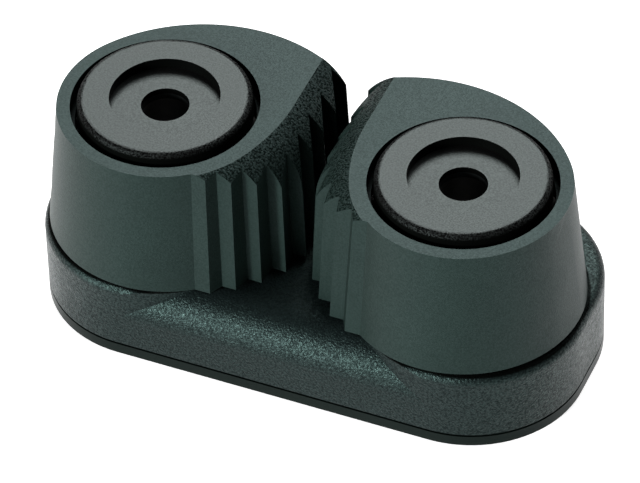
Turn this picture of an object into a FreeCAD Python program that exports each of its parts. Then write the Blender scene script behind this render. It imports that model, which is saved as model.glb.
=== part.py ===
import FreeCAD, Part
import math
import os
import Sketcher

# Ball-bearing cam cleat for sheets up to about 10 mm. Millimetres, +Z up off the deck.
# The origin is midway between the two mounting screws, on the mounting face. +X runs
# through the two hubs and +Y the way the cams swing open, so a load pulls along -Y.

DIMENSIONS = {
    # Mounting and base
    "hub_spacing": 38.0,
    "screw_hole_radius": 2.9,
    "base_length": 68.4,
    "base_width": 33.2,
    "base_setback": 2.0,
    "base_corner_radius": 14.05,
    "base_top": 11.0,
    "base_edge_radius": 1.2,
    "plate_thickness": 1.4,
    "seam_height": 0.3,
    "seam_depth": 0.5,
    "foot_overlap": 0.2,
    "ramp_radius": 5.0,
    "boss_margin": 0.02,
    "pocket_radius": 12.7,
    "pocket_floor": 4.6,
    "post_radius": 7.0,
    "core_width": 4.4,
    "core_length": 21.0,
    "core_top": 8.4,
    "core_rib": 1.8,
    # Cams
    "cam_bottom": 11.5,
    "cam_top": 28.5,
    "cam_bottom_radius": 14.65,
    "cam_top_radius": 12.95,
    "cam_bore_radius": 8.3,
    "cap_bore_radius": 11.33,
    "cap_bore_depth": 2.1,
    "back_offset": 7.1,
    "back_direction": -35.0,
    "back_join": 145.0,
    "nose_corner_direction": 65.3,
    "tooth_count": 9,
    "tooth_first_radius": 15.85,
    "tooth_first_angle": -49.2,
    "tooth_pitch_angle": 10.72,
    "tooth_pressure_angle": 13.4,
    "tooth_depth": 1.75,
    "tooth_depth_gain": 0.1,
    "jaw_reach": 18.6,
    "tooth_draft_across": 0.7,
    "tooth_draft_along": 1.7,
    "bevel_radius": 13.35,
    "bevel_reach": 14.4,
    "bevel_join": 23.7,
    "bevel_first_direction": -80.0,
    "bevel_start_slope": 24.0,
    "bevel_round_radius": 7.5,
    # Ball races, shared by all four rows
    "ball_radius": 1.5,
    "ball_count": 18,
    "ball_circle_radius": 9.3,
    "running_clearance": 0.03,
    "lower_race_thickness": 1.3,
    "lower_race_radius": 10.6,
    # Hubs
    "cap_radius": 10.5,
    "cap_top": 29.6,
    "cap_thickness": 2.8,
    "cap_edge_radius": 0.8,
    "recess_radius": 6.63,
    "recess_depth": 1.4,
    "spigot_radius": 5.4,
    "spigot_height": 0.6,
    "sleeve_radius": 3.7,
    "sleeve_top": 26.6,
    "sleeve_flange_radius": 5.2,
    "sleeve_flange_thickness": 0.7,
    # Return springs
    "wire_radius": 0.55,
    "coil_radius": 9.4,
    "coil_turns": 3.0,
    "coil_pitch": 1.3,
    "leg_radius": 11.9,
    "leg_clearance": 0.15,
    "leg_notch_depth": 0.8,
    "leg_notch_gap": 0.2,
    "coil_gap": 0.1,
    "leg_top": 13.4,
    # Stops and plate screws
    "pin_radius": 0.9,
    "pin_circle_radius": 14.3,
    "pin_angle": 100.0,
    "pin_bottom": 5.0,
    "pin_top": 13.2,
    "pin_slot_depth": 2.3,
    "pin_clearance": 0.1,
    "opening_angle": 60.0,
    "stop_clearance_angle": 0.3,
    "plate_screw_x": 5.0,
    "plate_screw_y": 12.9,
    "plate_screw_radius": 0.9,
    "plate_screw_head_radius": 1.7,
    "plate_screw_head_height": 0.8,
    "plate_screw_length": 5.0,
    "plate_screw_head_sunk": 0.1,
    "plate_screw_drive_radius": 0.54,
    "plate_screw_drive_depth": 0.5,
}

doc = FreeCAD.newDocument("cam_cleat")
sheet = doc.addObject("Spreadsheet::Sheet", "dims")
for row, (alias, value) in enumerate(DIMENSIONS.items(), start=1):
    sheet.set(f"A{row}", alias)
    sheet.set(f"B{row}", str(value))
    sheet.setAlias(f"B{row}", alias)
doc.recompute()

# Places that several pieces share: the left hub, the ball rows' centres and the coil's ends.
HUB = "(0 - dims.hub_spacing / 2)"
UPPER_BALLS = "(dims.cap_top - dims.cap_thickness - dims.ball_radius - dims.running_clearance)"
LOWER_BALLS = ("(dims.base_top + dims.lower_race_thickness + dims.ball_radius"
               " + dims.running_clearance)")
COIL_BOTTOM = "(dims.pocket_floor + dims.wire_radius + dims.coil_gap)"
COIL_TOP = f"({COIL_BOTTOM} + dims.coil_turns * dims.coil_pitch)"


def dim(alias):
    """A driving dimension, read back from the sheet."""
    return float(sheet.get(alias))


def bind(obj, **expressions):
    """Bind properties such as Radius or Placement_Base_x to the sheet."""
    for prop, expression in expressions.items():
        obj.setExpression(prop.replace("_", "."), str(expression))


def cylinder(name, radius, bottom, top, x=HUB, y="0"):
    """An upright cylinder between two heights, on the left hub unless told otherwise."""
    obj = doc.addObject("Part::Cylinder", name)
    bind(obj, Radius=radius, Height=f"({top}) - ({bottom})",
         Placement_Base_x=x, Placement_Base_y=y, Placement_Base_z=bottom)
    return obj


def box(name, low, high):
    """A box between two corners, each a tuple of three expressions."""
    obj = doc.addObject("Part::Box", name)
    for side, start, end in zip(("Length", "Width", "Height"), low, high):
        obj.setExpression(side, f"({end}) - ({start})")
    bind(obj, Placement_Base_x=low[0], Placement_Base_y=low[1], Placement_Base_z=low[2])
    return obj


def fuse(name, shapes):
    obj = doc.addObject("Part::MultiFuse", name)
    obj.Shapes = shapes
    return obj


def cut(name, base, tools):
    """The base less every tool."""
    obj = doc.addObject("Part::Cut", name)
    obj.Base = base
    obj.Tool = tools[0] if len(tools) == 1 else fuse(name + "_tools", tools)
    return obj


def ring(name, outer, inner, bottom, top):
    """A plain ring on the left hub's axis."""
    return cut(name, cylinder(name + "_blank", outer, bottom, top),
               [cylinder(name + "_bore", inner, f"{bottom} - 1", f"{top} + 1")])


def new_body(name):
    return doc.addObject("PartDesign::Body", name)


def new_sketch(body, name, height="0"):
    """A sketch parallel to the body's XY plane, at a height given as an expression."""
    plane = next(f for f in body.Origin.OriginFeatures if f.Role == "XY_Plane")
    sketch = body.newObject("Sketcher::SketchObject", name)
    sketch.AttachmentSupport = (plane, "")
    sketch.MapMode = "FlatFace"
    sketch.setExpression("AttachmentOffset.Base.z", height)
    return sketch


def bound_constraint(sketch, kind, *args, expression):
    """A dimension whose value follows the sheet."""
    index = sketch.addConstraint(Sketcher.Constraint(kind, *args))
    sketch.setExpression(f"Constraints[{index}]", expression)


def outline_sketch(body, name, inset="0", height="0"):
    """The base's plan: a rectangle with large rounded corners, inset from the full size."""
    sketch = new_sketch(body, name, height)
    half_x = dim("base_length") / 2
    half_y = dim("base_width") / 2
    radius = dim("base_corner_radius")
    flat_x, flat_y, shift = half_x - radius, half_y - radius, dim("base_setback")

    def point(x, y):
        return FreeCAD.Vector(x, y + shift, 0)

    for start, end in (((-flat_x, -half_y), (flat_x, -half_y)), ((half_x, -flat_y), (half_x, flat_y)),
                       ((flat_x, half_y), (-flat_x, half_y)), ((-half_x, flat_y), (-half_x, -flat_y))):
        sketch.addGeometry(Part.LineSegment(point(*start), point(*end)), False)
    for centre, start in (((flat_x, -flat_y), 270), ((flat_x, flat_y), 0),
                          ((-flat_x, flat_y), 90), ((-flat_x, -flat_y), 180)):
        circle = Part.Circle(point(*centre), FreeCAD.Vector(0, 0, 1), radius)
        arc = Part.ArcOfCircle(circle, math.radians(start), math.radians(start + 90))
        sketch.addGeometry(arc, False)
    for side in range(4):
        sketch.addConstraint(Sketcher.Constraint("Tangent", side, 2, 4 + side, 1))
        sketch.addConstraint(Sketcher.Constraint("Tangent", 4 + side, 2, (side + 1) % 4, 1))
        sketch.addConstraint(Sketcher.Constraint("Vertical" if side % 2 else "Horizontal", side))
        if side:
            sketch.addConstraint(Sketcher.Constraint("Equal", 4, 4 + side))
    bound_constraint(sketch, "Radius", 4, radius, expression=f"dims.base_corner_radius - {inset}")
    bound_constraint(sketch, "DistanceX", -1, 1, 1, 1, half_x, expression=f"dims.base_length / 2 - {inset}")
    bound_constraint(sketch, "DistanceX", 3, 1, -1, 1, half_x, expression=f"dims.base_length / 2 - {inset}")
    bound_constraint(sketch, "DistanceY", 0, 1, -1, 1, half_y - shift,
                     expression=f"dims.base_width / 2 - dims.base_setback - {inset}")
    bound_constraint(sketch, "DistanceY", -1, 1, 2, 1, half_y + shift,
                     expression=f"dims.base_width / 2 + dims.base_setback - {inset}")
    return sketch


def pad(body, name, sketch, length):
    feature = body.newObject("PartDesign::Pad", name)
    feature.Profile = sketch
    feature.setExpression("Length", length)
    doc.recompute()
    return feature


def make_base_plate():
    """Thin cover under the housing, with the screws' clearance and the sleeves' flanges let in."""
    body = new_body("plate_blank")
    pad(body, "plate_pad", outline_sketch(body, "plate_outline"), "dims.plate_thickness")
    tools = []
    for side, x in (("left", HUB), ("right", "dims.hub_spacing / 2")):
        tools.append(cylinder(f"plate_{side}_hole", "dims.sleeve_radius", "-1",
                              "dims.plate_thickness + 1", x))
        tools.append(cylinder(f"plate_{side}_sink", "dims.sleeve_flange_radius", "-1",
                              "dims.sleeve_flange_thickness", x))
    for index, (x, y) in enumerate(plate_screw_centres()):
        tools.append(cylinder(f"plate_screw_hole_{index}", "dims.plate_screw_radius", "-1",
                              "dims.plate_thickness + 1", x, y))
        tools.append(cylinder(f"plate_screw_sink_{index}", "dims.plate_screw_head_radius", "-1",
                              "dims.plate_screw_head_height", x, y))
    return cut("base_plate", body, tools)


def plate_screw_centres():
    return [(f"{sx} * dims.plate_screw_x", f"dims.base_setback + {sy} * dims.plate_screw_y")
            for sx in (-1, 1) for sy in (-1, 1)]


def make_plate_screws():
    """Four small self-tapping screws that hold the plate to the housing."""
    screws = []
    for index, (x, y) in enumerate(plate_screw_centres()):
        head = cylinder(f"screw_head_{index}", "dims.plate_screw_head_radius",
                        "dims.plate_screw_head_sunk", "dims.plate_screw_head_height", x, y)
        shank = cylinder(f"screw_shank_{index}", "dims.plate_screw_radius",
                         "dims.plate_screw_head_height", "dims.plate_screw_length", x, y)
        drive = cylinder(f"screw_drive_{index}", "dims.plate_screw_drive_radius", "0",
                         "dims.plate_screw_drive_depth", x, y)
        screws.append(cut(f"screw_{index}", fuse(f"screw_blank_{index}", [head, shank]), [drive]))
    group = doc.addObject("Part::Compound", "plate_screws")
    group.Links = screws
    return group


def ramp_tools():
    """What is taken off the front and back edges, between the cams, to lead the rope in.

    Each ramp is a large rounding that dies out against the round bosses under the cams.
    """
    tools = []
    boss_x = "(dims.base_length / 2 - dims.base_corner_radius)"
    boss_radius = "dims.base_corner_radius + dims.boss_margin"
    low, high = "dims.base_top - dims.ramp_radius", "dims.base_top + 2"
    for name, sign in (("front", -1), ("back", 1)):
        edge = f"(dims.base_setback + {sign} * dims.base_width / 2)"
        inner = f"({edge} - {sign} * dims.ramp_radius)"
        low_y, high_y = (f"{edge} - 2", inner) if sign < 0 else (inner, f"{edge} + 2")
        corner = box(f"ramp_{name}_corner", (f"-{boss_x}", low_y, low), (boss_x, high_y, high))
        roll = doc.addObject("Part::Cylinder", f"ramp_{name}_roll")
        roll.Placement.Rotation = FreeCAD.Rotation(FreeCAD.Vector(0, 1, 0), 90)
        bind(roll, Radius="dims.ramp_radius", Height=f"2 * {boss_x} + 2", Placement_Base_x=f"-{boss_x} - 1",
             Placement_Base_y=inner, Placement_Base_z=low)
        boss_y = f"({edge} - {sign} * dims.base_corner_radius)"
        bosses = [cylinder(f"ramp_{name}_{side}_boss", boss_radius, "0", high, f"{x_sign} * {boss_x}", boss_y)
                  for side, x_sign in (("left", -1), ("right", 1))]
        tools.append(cut(f"ramp_{name}", corner, [roll] + bosses))
    return tools


def pin_centre(x_sign):
    """The stop pin's centre on one side, as two expressions."""
    across = "dims.pin_circle_radius * cos(dims.pin_angle * 1 deg)"
    along = "dims.pin_circle_radius * sin(dims.pin_angle * 1 deg)"
    return f"{x_sign} * (dims.hub_spacing / 2 - {across})", along


def make_base_housing():
    """The moulded base: spring pockets round two posts, rope ramps, and a seam above the plate."""
    body = new_body("housing_blank")
    foot = outline_sketch(body, "housing_foot", "dims.seam_depth", "dims.plate_thickness")
    pad(body, "housing_foot_pad", foot, "dims.seam_height + dims.foot_overlap")
    outline = outline_sketch(body, "housing_outline", "0", "dims.plate_thickness + dims.seam_height")
    block = pad(body, "housing_pad", outline, "dims.base_top - dims.plate_thickness - dims.seam_height")
    top = dim("base_top")
    rim = [f"Edge{i}" for i, edge in enumerate(block.Shape.Edges, start=1)
           if all(abs(v.Point.z - top) < 1e-6 for v in edge.Vertexes)]
    rounding = body.newObject("PartDesign::Fillet", "housing_edge")
    rounding.Base = (block, rim)
    rounding.setExpression("Radius", "dims.base_edge_radius")
    doc.recompute()

    tools = ramp_tools()
    for side, sign, x in (("left", -1, HUB), ("right", 1, "dims.hub_spacing / 2")):
        pocket = cylinder(f"{side}_pocket_bore", "dims.pocket_radius", "dims.pocket_floor",
                          "dims.base_top + 1", x)
        post = cylinder(f"{side}_pocket_post", "dims.post_radius", "dims.pocket_floor - 1",
                        "dims.base_top + 2", x)
        tools.append(cut(f"{side}_pocket", pocket, [post]))
        tools.append(cylinder(f"{side}_sleeve_hole", "dims.sleeve_radius", "0", "dims.base_top + 1", x))
        pin_x, pin_y = pin_centre(sign)
        tools.append(cylinder(f"{side}_pin_hole", "dims.pin_radius", "dims.pin_bottom",
                              "dims.base_top + 1", pin_x, pin_y))
        slot = "dims.wire_radius + dims.leg_clearance"
        tools.append(box(f"{side}_leg_slot",
                         (f"{x} - {slot}", "0 - dims.pocket_radius - dims.leg_notch_depth",
                          "dims.pocket_floor"),
                         (f"{x} + {slot}", "0 - dims.pocket_radius + 1", "dims.base_top + 1")))
        core_x = f"{sign} * (dims.core_rib + dims.core_width) / 2"
        tools.append(box(f"{side}_core",
                         (f"{core_x} - dims.core_width / 2", "dims.base_setback - dims.core_length / 2", "0"),
                         (f"{core_x} + dims.core_width / 2", "dims.base_setback + dims.core_length / 2",
                          "dims.core_top")))
    for index, (x, y) in enumerate(plate_screw_centres()):
        tools.append(cylinder(f"housing_screw_hole_{index}", "dims.plate_screw_radius", "0",
                              "dims.plate_screw_length", x, y))
    return cut("base_housing", body, tools)


def tooth_tip(index):
    """Tip of one tooth in plan, from the hub, on a spiral that stops short of the other cam."""
    turn = math.radians(index * dim("tooth_pitch_angle"))
    radius = dim("tooth_first_radius") * math.exp(math.tan(math.radians(dim("tooth_pressure_angle"))) * turn)
    angle = math.radians(dim("tooth_first_angle")) + turn
    radius = min(radius, dim("jaw_reach") / math.cos(angle))
    return radius * math.cos(angle), radius * math.sin(angle)


def cam_outline(sketch, hub_x, radius, rise):
    """Plan of the cam at one height: rise is 0 at its bottom and 1 at its top."""
    last = int(dim("tooth_count")) - 1
    points = []
    for index in range(last + 1):
        tip_x, tip_y = tooth_tip(index)
        tip_x -= rise * dim("tooth_draft_across")
        tip_y += rise * dim("tooth_draft_along") * (1 - index / last)
        depth = dim("tooth_depth") + rise * dim("tooth_depth_gain")
        root_x = tip_x - depth if index else math.sqrt(radius ** 2 - tip_y ** 2)
        points += [(root_x, tip_y), (tip_x, tip_y)]

    offset, direction = dim("back_offset"), math.radians(dim("back_direction"))
    centre = (offset * math.cos(direction), offset * math.sin(direction))
    corner = math.radians(dim("nose_corner_direction"))
    back_radius = radius + offset
    points.append((centre[0] + back_radius * math.cos(corner), centre[1] + back_radius * math.sin(corner)))

    plan = [FreeCAD.Vector(hub_x + x, y, 0) for x, y in points]
    for start, end in zip(plan, plan[1:]):
        sketch.addGeometry(Part.LineSegment(start, end), False)
    join = math.radians(dim("back_join"))
    up = FreeCAD.Vector(0, 0, 1)
    back = Part.Circle(FreeCAD.Vector(hub_x + centre[0], centre[1], 0), up, back_radius)
    sketch.addGeometry(Part.ArcOfCircle(back, corner, join), False)
    drum = Part.Circle(FreeCAD.Vector(hub_x, 0, 0), up, radius)
    root = math.atan2(points[0][1], points[0][0])
    sketch.addGeometry(Part.ArcOfCircle(drum, join, root + 2 * math.pi), False)
    count = len(sketch.Geometry)
    for index in range(count):
        sketch.addConstraint(Sketcher.Constraint("Coincident", index, 2, (index + 1) % count, 1))
        sketch.addConstraint(Sketcher.Constraint("Block", index))


def bevel_tool():
    """What the rounded shoulder takes off the top of the toothed side.

    Its upper edge follows an arc about the hub, a flatter arc tangent to it, and a straight
    run out past the nose. Across, it starts at a slope and curves down until it is upright.
    The tool itself reaches well past the teeth, above the cam and beyond the nose.
    """
    beyond, above, past_nose = 14, 2, 20
    radius, reach, join = dim("bevel_radius"), dim("bevel_reach"), math.radians(dim("bevel_join"))
    blend = (reach - radius) / (1 - math.cos(join))
    hub_x, top = -dim("hub_spacing") / 2, dim("cam_top")
    up = FreeCAD.Vector(0, 0, 1)
    hub = FreeCAD.Vector(hub_x, 0, top)
    blend_centre = hub + FreeCAD.Vector(-blend * math.cos(join), blend * math.sin(join), 0)
    first = math.radians(dim("bevel_first_direction"))
    arc = Part.ArcOfCircle(Part.Circle(hub, up, radius), first, -join)
    flat_arc = Part.ArcOfCircle(Part.Circle(blend_centre, up, radius + blend), -join, 0)
    straight_start = blend_centre + FreeCAD.Vector(radius + blend, 0, 0)
    straight = Part.LineSegment(straight_start, straight_start + FreeCAD.Vector(0, past_nose, 0))
    path = Part.Wire([arc.toShape(), flat_arc.toShape(), straight.toShape()])

    out = FreeCAD.Vector(math.cos(first), math.sin(first), 0)
    start = hub + out * radius
    slope, shoulder = math.radians(dim("bevel_start_slope")), dim("bevel_round_radius")
    centre = start - out * shoulder * math.sin(slope) - up * shoulder * math.cos(slope)

    def on_shoulder(angle):
        return centre + out * shoulder * math.sin(angle) + up * shoulder * math.cos(angle)

    upright = on_shoulder(math.pi / 2)
    shoulder_arc = Part.Arc(start, on_shoulder((slope + math.pi / 2) / 2), upright)
    corners = [upright, upright + out * (beyond - shoulder), start + out * beyond + up * above,
               start + up * above, start]
    section = Part.Wire([shoulder_arc.toShape()] + Part.makePolygon(corners).Edges)
    obj = doc.addObject("Part::Feature", "bevel_tool")
    obj.Shape = path.makePipeShell([section], True, False)
    return obj


def make_cam():
    """The left cam: a tapered drum with a toothed spiral jaw that ends in a nose."""
    hub_x = -dim("hub_spacing") / 2
    body = new_body("cam_blank")
    bottom = new_sketch(body, "cam_bottom_outline", "dims.cam_bottom")
    cam_outline(bottom, hub_x, dim("cam_bottom_radius"), 0)
    top = new_sketch(body, "cam_top_outline", "dims.cam_top")
    cam_outline(top, hub_x, dim("cam_top_radius"), 1)
    loft = body.newObject("PartDesign::AdditiveLoft", "cam_loft")
    loft.Profile = bottom
    loft.Sections = [top]
    loft.Ruled = True
    doc.recompute()

    race = "dims.ball_circle_radius + dims.ball_radius + dims.running_clearance"
    seat = "dims.ball_radius + dims.running_clearance"
    tools = [
        cylinder("cam_bore", "dims.cam_bore_radius", "dims.cam_bottom - 1", "dims.cam_top + 1"),
        cylinder("cam_cap_bore", "dims.cap_bore_radius", "dims.cam_top - dims.cap_bore_depth",
                 "dims.cam_top + 1"),
        cylinder("cam_upper_race", race, f"{UPPER_BALLS} - {seat}", "dims.cam_top + 1"),
        cylinder("cam_lower_race", race, "dims.cam_bottom - 1", f"{LOWER_BALLS} + {seat}"),
        bevel_tool(),
        pin_slot(),
    ]
    leg_x, leg_y = leg_centre()
    tools.append(cylinder("cam_leg_hole", "dims.wire_radius + dims.leg_clearance", "dims.cam_bottom - 1",
                          "dims.leg_top + dims.leg_notch_gap", leg_x, leg_y))
    return cut("left_cam", body, tools)


def pin_slot():
    """Arc-shaped slot under the cam that the stop pin runs in, as long as the cam's swing."""
    play = dim("stop_clearance_angle")
    first = dim("pin_angle") - dim("opening_angle") - play
    last = dim("pin_angle") + play
    radius, half = dim("pin_circle_radius"), dim("pin_radius") + dim("pin_clearance")
    up = FreeCAD.Vector(0, 0, 1)
    hub = FreeCAD.Vector(-dim("hub_spacing") / 2, 0, dim("cam_bottom") - 1)

    def at(distance, angle):
        turn = math.radians(angle)
        return hub + FreeCAD.Vector(distance * math.cos(turn), distance * math.sin(turn), 0)

    def bulge(angle, sign):
        tangent = FreeCAD.Vector(-math.sin(math.radians(angle)), math.cos(math.radians(angle)), 0)
        return at(radius, angle) + tangent * sign * half

    middle = (first + last) / 2
    edges = [
        Part.Arc(at(radius + half, first), at(radius + half, middle), at(radius + half, last)),
        Part.Arc(at(radius + half, last), bulge(last, 1), at(radius - half, last)),
        Part.Arc(at(radius - half, last), at(radius - half, middle), at(radius - half, first)),
        Part.Arc(at(radius - half, first), bulge(first, -1), at(radius + half, first)),
    ]
    face = Part.Face(Part.Wire([edge.toShape() for edge in edges]))
    obj = doc.addObject("Part::Feature", "pin_slot")
    obj.Shape = face.extrude(up * (dim("pin_slot_depth") + 1))
    return obj


def make_balls(name, height):
    """One full row of loose balls round the hub."""
    balls = []
    count = int(dim("ball_count"))
    for index in range(count):
        ball = doc.addObject("Part::Sphere", f"{name}_{index}")
        angle = f"({360 / count * index}) * 1 deg"
        across = f"dims.ball_circle_radius * cos({angle})"
        along = f"dims.ball_circle_radius * sin({angle})"
        bind(ball, Radius="dims.ball_radius", Placement_Base_x=f"{HUB} + {across}",
             Placement_Base_y=along, Placement_Base_z=height)
        balls.append(ball)
    group = doc.addObject("Part::Compound", name)
    group.Links = balls
    return group


def make_hub_stem():
    """Column that carries the inner races and a spigot for the cap."""
    radius = "dims.ball_circle_radius - dims.ball_radius - dims.running_clearance"
    foot = "dims.base_top + dims.lower_race_thickness"
    head = "dims.cap_top - dims.cap_thickness"
    blank = fuse("stem_blank", [cylinder("stem_column", radius, foot, head),
                                cylinder("stem_spigot", "dims.spigot_radius", foot,
                                         f"{head} + dims.spigot_height")])
    return cut("left_hub_stem", blank, [
        cylinder("stem_bore", "dims.sleeve_radius", "0", "dims.sleeve_top"),
        cylinder("stem_screw_hole", "dims.screw_hole_radius", "0", "dims.cap_top"),
    ])


def make_hub_cap():
    """Round cap over the upper balls, with a flat recess for the screw's head."""
    blank = cylinder("cap_disc", "dims.cap_radius", "dims.cap_top - dims.cap_thickness", "dims.cap_top")
    tools = [
        cylinder("cap_recess", "dims.recess_radius", "dims.cap_top - dims.recess_depth", "dims.cap_top + 1"),
        cylinder("cap_hole", "dims.screw_hole_radius", "dims.cap_top - dims.cap_thickness - 1",
                 "dims.cap_top + 1"),
        cylinder("cap_socket", "dims.spigot_radius", "dims.cap_top - dims.cap_thickness - 1",
                 "dims.cap_top - dims.cap_thickness + dims.spigot_height"),
    ]
    rough = cut("cap_rough", blank, tools)
    doc.recompute()
    top, outer = dim("cap_top"), dim("cap_radius")
    rim = [i for i, edge in enumerate(rough.Shape.Edges, start=1)
           if edge.BoundBox.ZMin > top - 1e-6 and abs(edge.BoundBox.XLength - 2 * outer) < 1e-3]
    cap = doc.addObject("Part::Fillet", "left_hub_cap")
    cap.Base = rough
    cap.Edges = [(i, dim("cap_edge_radius"), dim("cap_edge_radius")) for i in rim]
    return cap


def make_lower_race():
    """Ring on the post that the lower balls run on and that covers the spring's coil."""
    return ring("left_lower_race", "dims.lower_race_radius", "dims.sleeve_radius", "dims.base_top",
                "dims.base_top + dims.lower_race_thickness")


def make_sleeve():
    """Stainless tube rivet: takes the screw's clamping load from the cap down to the deck."""
    blank = fuse("sleeve_blank", [
        cylinder("sleeve_tube", "dims.sleeve_radius", "0", "dims.sleeve_top"),
        cylinder("sleeve_flange", "dims.sleeve_flange_radius", "0", "dims.sleeve_flange_thickness"),
    ])
    return cut("left_sleeve", blank, [cylinder("sleeve_bore", "dims.screw_hole_radius", "0 - 1",
                                               "dims.sleeve_top + 1")])


def make_stop_pin():
    pin_x, pin_y = pin_centre(-1)
    return cylinder("left_stop_pin", "dims.pin_radius", "dims.pin_bottom", "dims.pin_top", pin_x, pin_y)


def leg_centre():
    """Where the spring's upper leg stands: straight in front of the hub, in the pocket."""
    return HUB, "0 - dims.leg_radius"


def make_spring():
    """Torsion spring round the post: the lower leg is held in the base, the upper one in the cam."""
    helix = doc.addObject("Part::Helix", "spring_helix")
    bind(helix, Pitch="dims.coil_pitch", Height="dims.coil_turns * dims.coil_pitch",
         Radius="dims.coil_radius", Placement_Base_x=HUB, Placement_Base_z=COIL_BOTTOM)
    helix.Placement.Rotation = FreeCAD.Rotation(FreeCAD.Vector(0, 0, 1), -90)
    section = doc.addObject("Part::Circle", "spring_section")
    bind(section, Radius="dims.wire_radius", Placement_Base_x=HUB,
         Placement_Base_y="0 - dims.coil_radius", Placement_Base_z=COIL_BOTTOM)
    section.Placement.Rotation = FreeCAD.Rotation(FreeCAD.Vector(0, 1, 0), 90)
    coil = doc.addObject("Part::Sweep", "spring_coil")
    coil.Sections = [section]
    coil.Spine = (helix, ["Edge1"])
    coil.Solid = True
    coil.Frenet = False

    def elbow(name, radius, height):
        ball = doc.addObject("Part::Sphere", name)
        bind(ball, Radius="dims.wire_radius", Placement_Base_x=HUB, Placement_Base_y=f"0 - {radius}",
             Placement_Base_z=height)
        return ball

    def radial(name, start, end, height):
        leg = doc.addObject("Part::Cylinder", name)
        leg.Placement.Rotation = FreeCAD.Rotation(FreeCAD.Vector(1, 0, 0), 90)
        bind(leg, Radius="dims.wire_radius", Height=f"{end} - {start}", Placement_Base_x=HUB,
             Placement_Base_y=f"0 - {start}", Placement_Base_z=height)
        return leg

    pieces = [
        coil,
        elbow("spring_lower_elbow", "dims.coil_radius", COIL_BOTTOM),
        radial("spring_lower_leg", "dims.coil_radius",
               "(dims.pocket_radius + dims.leg_notch_depth - dims.leg_notch_gap)", COIL_BOTTOM),
        elbow("spring_upper_elbow", "dims.coil_radius", COIL_TOP),
        radial("spring_upper_arm", "dims.coil_radius", "dims.leg_radius", COIL_TOP),
        elbow("spring_upper_corner", "dims.leg_radius", COIL_TOP),
        cylinder("spring_upper_leg", "dims.wire_radius", COIL_TOP, "dims.leg_top", *leg_centre()),
    ]
    return fuse("left_spring", pieces)


left_pieces = [
    make_cam(),
    make_hub_cap(),
    make_hub_stem(),
    make_sleeve(),
    make_lower_race(),
    make_balls("left_upper_balls", UPPER_BALLS),
    make_balls("left_lower_balls", LOWER_BALLS),
    make_spring(),
    make_stop_pin(),
]
nodes = [make_base_housing(), make_base_plate(), make_plate_screws()] + left_pieces
for piece in left_pieces:
    mirrored = doc.addObject("Part::Mirroring", piece.Name.replace("left", "right"))
    mirrored.Source = piece
    mirrored.Base = FreeCAD.Vector(0, 0, 0)
    mirrored.Normal = FreeCAD.Vector(1, 0, 0)
    nodes.append(mirrored)
for node in nodes:
    node.Label = node.Name
doc.recompute()

failed = [o.Name for o in doc.Objects if "Invalid" in o.State or "Error" in o.State]
failed += [o.Name for o in nodes if o.Shape.isNull() or not o.Shape.isValid()]
if failed:
    raise RuntimeError(f"failed objects: {failed}")

os.makedirs("parts", exist_ok=True)
for node in nodes:
    node.Shape.exportStep(os.path.join("parts", node.Label + ".step"))
    print(f"{node.Label}: {len(node.Shape.Solids)} solids, {node.Shape.Volume:.1f} mm3")
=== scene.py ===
import math

import bpy
from mathutils import Matrix, Vector


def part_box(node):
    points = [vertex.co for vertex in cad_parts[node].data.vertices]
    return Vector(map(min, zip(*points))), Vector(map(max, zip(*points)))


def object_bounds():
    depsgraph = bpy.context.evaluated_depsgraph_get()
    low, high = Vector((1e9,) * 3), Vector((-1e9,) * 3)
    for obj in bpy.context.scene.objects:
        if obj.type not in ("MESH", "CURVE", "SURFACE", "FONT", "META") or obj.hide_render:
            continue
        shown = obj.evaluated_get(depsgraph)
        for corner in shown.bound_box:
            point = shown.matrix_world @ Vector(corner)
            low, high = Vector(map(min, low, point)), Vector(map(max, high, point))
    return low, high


MM = 0.001
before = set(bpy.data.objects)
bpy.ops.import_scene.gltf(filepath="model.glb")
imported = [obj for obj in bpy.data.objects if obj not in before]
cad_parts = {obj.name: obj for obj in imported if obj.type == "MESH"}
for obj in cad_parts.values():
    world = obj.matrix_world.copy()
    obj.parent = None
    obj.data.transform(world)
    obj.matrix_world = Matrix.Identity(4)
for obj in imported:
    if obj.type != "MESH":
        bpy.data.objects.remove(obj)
cad_low, cad_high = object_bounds()

# Places that the finishes and their painted shade depend on. Both sides are alike. HUB and
# BEVEL_END are distances from the middle plane, and CAP_GAP and CREVICE are radii round a hub's axis.
cap_low, cap_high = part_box("right_hub_cap")
HUB = (cap_low.x + cap_high.x) / 2
BEVEL_END = HUB - 3.2 * MM                                  # where a cam's rough bevel stops
CAP_GAP = (cap_high.x - cap_low.x) / 2 + 0.86 * MM          # just past the wall round a cap's gap
BALLS_TOP = cap_low.z + 0.1 * MM                            # clear of the balls and a cap's underside
CREVICE = -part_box("right_cam")[0].y + 0.3 * MM              # just past the foot of a cam's drum
CREVICE_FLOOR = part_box("base_housing")[1].z - 0.4 * MM      # just under the housing's top

# Where a noise's values lie: only its middle, most of them, or nearly all.
MIDDLE = (0.4, 0.6)
MOST = (0.35, 0.65)
NEARLY_ALL = (0.3, 0.7)

# The near-black of painted shade, put in the crevices under the cams and in the gaps round the caps.
PAINTED_SHADE = (0.0015, 0.0018, 0.0016)
GREENISH = (0.64, 1.0, 0.98, 1.0)
WHITE = (1.0, 1.0, 1.0, 1.0)


# ---------------------------------------------------------------- materials

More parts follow.
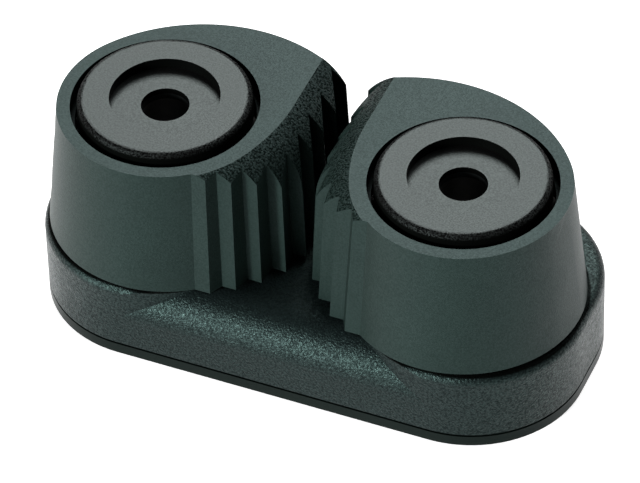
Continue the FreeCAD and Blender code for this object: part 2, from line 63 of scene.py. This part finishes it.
class Nodes:
    """A material's node tree, with short calls to add nodes and wire them up."""

    def __init__(self, name):
        self.material = bpy.data.materials.new(name)
        self.material.use_nodes = True
        self.tree = self.material.node_tree
        self.shader = self.tree.nodes["Principled BSDF"]
        self.place = self.add("ShaderNodeTexCoord").outputs["Object"]

    def add(self, kind, **settings):
        node = self.tree.nodes.new(kind)
        for key, value in settings.items():
            setattr(node, key, value)
        return node

    def wire(self, source, target):
        self.tree.links.new(source, target)

    def feed(self, **sources):
        """Wires each source to the shader's socket of that name, with spaces for underscores."""
        for name, source in sources.items():
            self.wire(source, self.shader.inputs[name.replace("_", " ")])

    def noise(self, size, detail=2.0, roughness=0.5):
        """Noise whose blobs are about this many metres across."""
        node = self.add("ShaderNodeTexNoise")
        node.inputs["Scale"].default_value = 1.0 / size
        node.inputs["Detail"].default_value = detail
        node.inputs["Roughness"].default_value = roughness
        self.wire(self.place, node.inputs["Vector"])
        return node.outputs["Fac"]

    def remap(self, source, low, high, to_low, to_high):
        """The source stretched from one range onto another, and held at its ends."""
        node = self.add("ShaderNodeMapRange")
        for key, value in (("From Min", low), ("From Max", high), ("To Min", to_low), ("To Max", to_high)):
            node.inputs[key].default_value = value
        self.wire(source, node.inputs["Value"])
        return node.outputs["Result"]

    def rise(self, source, start, width):
        """0 up to start, and 1 from start + width on."""
        return self.remap(source, start, start + width, 0.0, 1.0)

    def fall(self, source, start, width):
        """1 up to start, and 0 from start + width on."""
        return self.remap(source, start, start + width, 1.0, 0.0)

    def math(self, operation, *sources):
        """Each source is another node's output or a plain number."""
        node = self.add("ShaderNodeMath", operation=operation)
        for source, target in zip(sources, node.inputs):
            if isinstance(source, float):
                target.default_value = source
            else:
                self.wire(source, target)
        return node.outputs["Value"]

    def times(self, first, second):
        return self.math("MULTIPLY", first, second)

    def mix(self, factor, first, second):
        """First where the factor is 0, second where it is 1. Each is a colour or another node's output."""
        node = self.add("ShaderNodeMix", data_type="RGBA")
        self.wire(factor, node.inputs["Factor"])
        for source, target in ((first, node.inputs["A"]), (second, node.inputs["B"])):
            if isinstance(source, bpy.types.NodeSocket):
                self.wire(source, target)
            else:
                target.default_value = (*source, 1.0)
        return node.outputs["Result"]

    def spot(self):
        """The point's distance from the middle plane, from the nearer hub's axis, and its height."""
        parts = self.add("ShaderNodeSeparateXYZ")
        self.wire(self.place, parts.inputs["Vector"])
        out = self.math("ABSOLUTE", parts.outputs["X"])
        across = self.math("SUBTRACT", out, HUB)
        along = parts.outputs["Y"]
        square = self.math("ADD", self.times(across, across), self.times(along, along))
        return out, self.math("POWER", square, 0.5), parts.outputs["Z"]

    def upward(self):
        """How far the face looks up: 0 on a wall, 1 on a level top."""
        parts = self.add("ShaderNodeSeparateXYZ")
        self.wire(self.add("ShaderNodeTexCoord").outputs["Normal"], parts.inputs["Vector"])
        return parts.outputs["Z"]

    def bump(self, height, depth, onto=None):
        node = self.add("ShaderNodeBump")
        node.inputs["Distance"].default_value = depth
        self.wire(height, node.inputs["Height"])
        if onto is not None:
            self.wire(onto, node.inputs["Normal"])
        return node.outputs["Normal"]


def speckled(n, colour, size, spread):
    """The body colour, clouded over a few millimetres and speckled at the grain's own size."""
    cloud_size, cloud_spread = 6 * MM, 0.08
    cloud = n.remap(n.noise(cloud_size, detail=4.0, roughness=0.6), *MOST, -cloud_spread, cloud_spread)
    speck = n.remap(n.noise(size, detail=3.0, roughness=0.7), *NEARLY_ALL, -spread, spread)
    level = n.remap(n.math("ADD", cloud, speck), -1.0, 1.0, 0.0, 1.0)
    return n.mix(level, (0.0, 0.0, 0.0), [2 * c for c in colour])


def outside_crevice_shade(n):
    """0 on the housing's top under the foot of a cam, where shade is painted in, and 1 elsewhere."""
    _, from_hub, height = n.spot()
    aside = n.rise(from_hub, CREVICE, 0.2 * MM)
    below = n.fall(height, CREVICE_FLOOR, 0.15 * MM)
    return n.math("MAXIMUM", aside, below)


def outside_cap_gap_shade(n, upward, from_hub, height):
    """0 down in the gap round a cap, where shade is painted in, and 1 outside it and on the faces that see
    the sky.
    """
    edge = 0.1 * MM
    outside = n.rise(from_hub, CAP_GAP, edge)
    in_open_air = n.times(n.rise(upward, 0.2, 0.4), n.rise(height, BALLS_TOP, edge))
    return n.math("MAXIMUM", outside, in_open_air)


def moulded_plastic(name, colour, roughness, grain_size, grain_depth, spread=0.10, gloss=0.25,
                    sparkle=0.1, sheen=GREENISH, paint_crevice_shade=False):
    """Black nylon out of a steel mould: a tinted dark body with the mould's fine grain.

    spread is how much the colour varies from speck to speck, and sparkle how much the gloss
    does. A part may get painted shade in the crevices under the cams: dark and dull there, standing in for
    the cams' shadow.
    """
    crevice_shade_gloss = 0.1
    n = Nodes(name)
    body = speckled(n, colour, grain_size, spread)
    swing = 0.1 * sparkle
    patches = n.noise(grain_size * 3, detail=3.0)
    glint = n.noise(grain_size * 1.3, detail=1.0)
    shine = n.remap(glint, *MOST, gloss * (1 - sparkle), gloss * (1 + sparkle))
    # Painted shade: the crevice under the foot of each cam is painted near-black and its gloss cut,
    # standing in for the cam's shadow.
    if paint_crevice_shade:
        outside_painted_shade = outside_crevice_shade(n)
        body = n.mix(outside_painted_shade, PAINTED_SHADE, body)
        shine = n.times(shine, n.remap(outside_painted_shade, 0.0, 1.0, crevice_shade_gloss, 1.0))
    grain = n.noise(grain_size, detail=2.0, roughness=0.6)
    n.feed(Base_Color=body, Roughness=n.remap(patches, *MOST, roughness - swing, roughness + swing),
           Specular_IOR_Level=shine, Normal=n.bump(grain, grain_depth))
    n.shader.inputs["Specular Tint"].default_value = sheen
    return n.material


def two_finish_plastic(name, colour, roughness, fine, coarse, gloss, sheen=GREENISH,
                       glints=(-0.8, 1.0), level_from=0.93, rough_out_to=None):
    """A moulded part whose sloping faces are spark-eroded and whose others are nearly smooth.

    fine and coarse are each a grain's size and depth. glints is how much less and more the
    rough finish shines than the smooth one, from its pits to its peaks. A face that looks up
    more than level_from is level and stays smooth. rough_out_to is how far from the middle
    plane the rough finish goes.
    """
    slope_from, slope_fade, level_fade, side_fade = 0.17, 0.10, 0.045, 0.8 * MM
    fine_spread, coarse_spread, coarse_shade = 0.08, 0.7, 0.7
    rougher_by, fine_glints, cap_gap_shade_gloss = 0.12, 0.22, 0.15
    fine_size, fine_depth = fine
    coarse_size, coarse_depth = coarse

    n = Nodes(name)
    upward = n.upward()
    out, from_hub, height = n.spot()
    rough = n.times(n.rise(upward, slope_from, slope_fade), n.fall(upward, level_from, level_fade))
    if rough_out_to is not None:
        rough = n.times(rough, n.fall(out, rough_out_to, side_fade))
    # Painted shade: down in the gap round each cap the colour is painted near-black and the gloss cut,
    # standing in for the shade in that deep gap.
    outside_painted_shade = outside_cap_gap_shade(n, upward, from_hub, height)

    smooth_body = speckled(n, colour, fine_size, fine_spread)
    rough_body = speckled(n, [c * coarse_shade for c in colour], coarse_size, coarse_spread)
    body = n.mix(outside_painted_shade, PAINTED_SHADE, n.mix(rough, smooth_body, rough_body))

    coarse_glint = n.times(n.remap(n.noise(coarse_size, detail=1.0), *MIDDLE, *glints), rough)
    fine_glint = n.remap(n.noise(fine_size * 1.5, detail=1.0), *MOST, -fine_glints, fine_glints)
    shine = n.remap(n.math("ADD", coarse_glint, fine_glint), -1.0, 1.0, 0.0, 2 * gloss)
    shine = n.times(shine, n.remap(outside_painted_shade, 0.0, 1.0, cap_gap_shade_gloss, 1.0))

    grain = n.bump(n.noise(fine_size, detail=2.0, roughness=0.6), fine_depth)
    pits = n.times(n.noise(coarse_size, detail=2.0, roughness=0.6), rough)
    n.feed(Base_Color=body, Roughness=n.remap(rough, 0.0, 1.0, roughness, roughness + rougher_by),
           Specular_IOR_Level=shine, Normal=n.bump(pits, coarse_depth, onto=grain))
    n.shader.inputs["Specular Tint"].default_value = sheen
    return n.material


def acetal(name, colour):
    """Hard, polished plastic, a little worn in patches."""
    n = Nodes(name)
    n.feed(Base_Color=n.mix(n.noise(1.5 * MM), [c * 0.95 for c in colour], colour),
           Roughness=n.remap(n.noise(0.4 * MM), *NEARLY_ALL, 0.22, 0.34),
           Normal=n.bump(n.noise(0.3 * MM), 0.002 * MM))
    return n.material


def drawn_steel(name, dark, light, roughness):
    """Bare stainless between two tones, with fine drawing marks."""
    yellowing, scuffing = 0.97, 0.08
    n = Nodes(name)
    scuff = n.noise(0.5 * MM, detail=4.0)
    n.feed(Base_Color=n.mix(n.noise(2 * MM), (dark, dark, dark), (light, light, light * yellowing)),
           Roughness=n.remap(scuff, *NEARLY_ALL, roughness - scuffing, roughness + scuffing),
           Normal=n.bump(n.noise(0.15 * MM), 0.004 * MM))
    n.shader.inputs["Metallic"].default_value = 1.0
    return n.material


STEEL = drawn_steel("drawn_stainless", dark=0.52, light=0.66, roughness=0.32)
RACE = moulded_plastic("race_acetal", (0.010, 0.011, 0.011), roughness=0.45,
                       grain_size=0.15 * MM, grain_depth=0.003 * MM)
FINISHES = {
    # The housing gets painted shade in the crevices under the cams.
    "housing": moulded_plastic("base_nylon", (0.005, 0.008, 0.008), roughness=0.36,
                               grain_size=0.22 * MM, grain_depth=0.095 * MM, spread=0.35,
                               gloss=0.19, sparkle=0.6, sheen=(0.60, 1.0, 0.93, 1.0), paint_crevice_shade=True),
    "plate": moulded_plastic("plate_nylon", (0.003, 0.005, 0.004), roughness=0.30,
                             grain_size=0.12 * MM, grain_depth=0.010 * MM, spread=0.2, gloss=0.10),
    "cam": two_finish_plastic("cam_nylon", (0.006, 0.012, 0.010), roughness=0.46,
                              fine=(0.16 * MM, 0.022 * MM), coarse=(0.26 * MM, 0.130 * MM),
                              gloss=0.18, rough_out_to=BEVEL_END),
    "cap": two_finish_plastic("cap_nylon", (0.005, 0.005, 0.005), roughness=0.36,
                              fine=(0.14 * MM, 0.010 * MM), coarse=(0.20 * MM, 0.100 * MM),
                              gloss=0.16, sheen=(0.80, 1.0, 0.96, 1.0), glints=(-1.0, 0.15),
                              level_from=0.95),
    "race": RACE,
    "stem": RACE,
    "balls": acetal("ball_acetal", (0.05, 0.05, 0.048)),
    "sleeve": drawn_steel("drilled_stainless", dark=0.10, light=0.16, roughness=0.55),
    "spring": drawn_steel("oiled_spring_wire", dark=0.08, light=0.13, roughness=0.45),
    "pin": STEEL,
    "screws": STEEL,
}


def finish_nodes():
    """Every CAD node takes the finish that the last word of its name calls for."""
    for name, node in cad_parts.items():
        node.data.materials.clear()
        node.data.materials.append(FINISHES[name.split("_")[-1]])


# ---------------------------------------------------------------- studio

FOCUS = Vector((0.0, 0.0, 18 * MM))
CAMERA_DISTANCE = 640.3 * MM
CAMERA_AZIMUTH = math.radians(24.02)
CAMERA_ELEVATION = math.radians(43.15)
CAMERA_ROLL = math.radians(1.85)
LENS = 303.2
SENSOR = 36.0
AIM_RIGHT = 0.46 * MM
AIM_UP = -4.08 * MM
FLOOR_SIZE = 6.0
FLOOR_GAP = 0.05 * MM
FLOOR_GLOW = 0.70
SURROUND = 0.06


def make_camera():
    """A long lens from front right and above, turned a little so that the object sits as it should."""
    back = Vector((math.sin(CAMERA_AZIMUTH) * math.cos(CAMERA_ELEVATION),
                   -math.cos(CAMERA_AZIMUTH) * math.cos(CAMERA_ELEVATION),
                   math.sin(CAMERA_ELEVATION)))
    right = Vector((math.cos(CAMERA_AZIMUTH), math.sin(CAMERA_AZIMUTH), 0))
    up = back.cross(right)
    location = FOCUS + back * CAMERA_DISTANCE
    aim = FOCUS + right * AIM_RIGHT + up * AIM_UP
    back = (location - aim).normalized()
    right = (right - back * right.dot(back)).normalized()
    up = back.cross(right)
    turned_right = right * math.cos(CAMERA_ROLL) - up * math.sin(CAMERA_ROLL)
    turned_up = right * math.sin(CAMERA_ROLL) + up * math.cos(CAMERA_ROLL)
    data = bpy.data.cameras.new("camera")
    data.lens = LENS
    data.sensor_width = SENSOR
    data.clip_start, data.clip_end = 0.01, 10.0
    camera = bpy.data.objects.new("camera", data)
    camera.matrix_world = Matrix((
        (turned_right.x, turned_up.x, back.x, location.x),
        (turned_right.y, turned_up.y, back.y, location.y),
        (turned_right.z, turned_up.z, back.z, location.z),
        (0, 0, 0, 1)))
    bpy.context.scene.collection.objects.link(camera)
    bpy.context.scene.camera = camera


def make_floor():
    """A white floor just under the plate, which glows enough to stay white in the shadows."""
    bpy.ops.mesh.primitive_plane_add(size=FLOOR_SIZE, location=(0, 0, cad_low.z - FLOOR_GAP))
    floor = bpy.context.object
    floor.name = "floor"
    n = Nodes("floor_white")
    n.shader.inputs["Base Color"].default_value = (0.92, 0.92, 0.92, 1.0)
    n.shader.inputs["Roughness"].default_value = 0.9
    n.shader.inputs["Emission Color"].default_value = WHITE
    n.shader.inputs["Emission Strength"].default_value = FLOOR_GLOW
    floor.data.materials.append(n.material)


def make_surround():
    """A dim even light from all round, which the camera itself sees as plain white."""
    world = bpy.data.worlds.new("surround")
    world.use_nodes = True
    tree = world.node_tree
    lighting = tree.nodes["Background"]
    lighting.inputs["Color"].default_value = WHITE
    lighting.inputs["Strength"].default_value = SURROUND
    seen = tree.nodes.new("ShaderNodeBackground")
    seen.inputs["Color"].default_value = WHITE
    blend = tree.nodes.new("ShaderNodeMixShader")
    path = tree.nodes.new("ShaderNodeLightPath")
    tree.links.new(path.outputs["Is Camera Ray"], blend.inputs["Fac"])
    tree.links.new(lighting.outputs["Background"], blend.inputs[1])
    tree.links.new(seen.outputs["Background"], blend.inputs[2])
    tree.links.new(blend.outputs["Shader"], tree.nodes["World Output"].inputs["Surface"])
    bpy.context.scene.world = world


def soft_light(name, azimuth, elevation, spread, irradiance):
    """Light from one side of the sky, as wide as a soft box; azimuth is counted from +X to +Y."""
    data = bpy.data.lights.new(name, "SUN")
    data.angle = math.radians(spread)
    data.energy = irradiance
    light = bpy.data.objects.new(name, data)
    turn, rise = math.radians(azimuth), math.radians(elevation)
    towards = Vector((math.cos(turn) * math.cos(rise), math.sin(turn) * math.cos(rise), math.sin(rise)))
    light.rotation_mode = "QUATERNION"
    light.rotation_quaternion = towards.to_track_quat("Z", "Y")
    bpy.context.scene.collection.objects.link(light)


def make_lights():
    """A soft key from behind right, a second light behind that gleams on the level tops, and a
    small low one in front for the walls, the teeth and the ramp."""
    soft_light("key", azimuth=72, elevation=52, spread=40, irradiance=1.3)
    soft_light("top_sheen", azimuth=112, elevation=44, spread=24, irradiance=2.4)
    soft_light("front_fill", azimuth=242, elevation=12, spread=10, irradiance=5.2)


finish_nodes()
make_camera()
make_floor()
make_surround()
make_lights()
bpy.context.scene.view_settings.view_transform = "Standard"
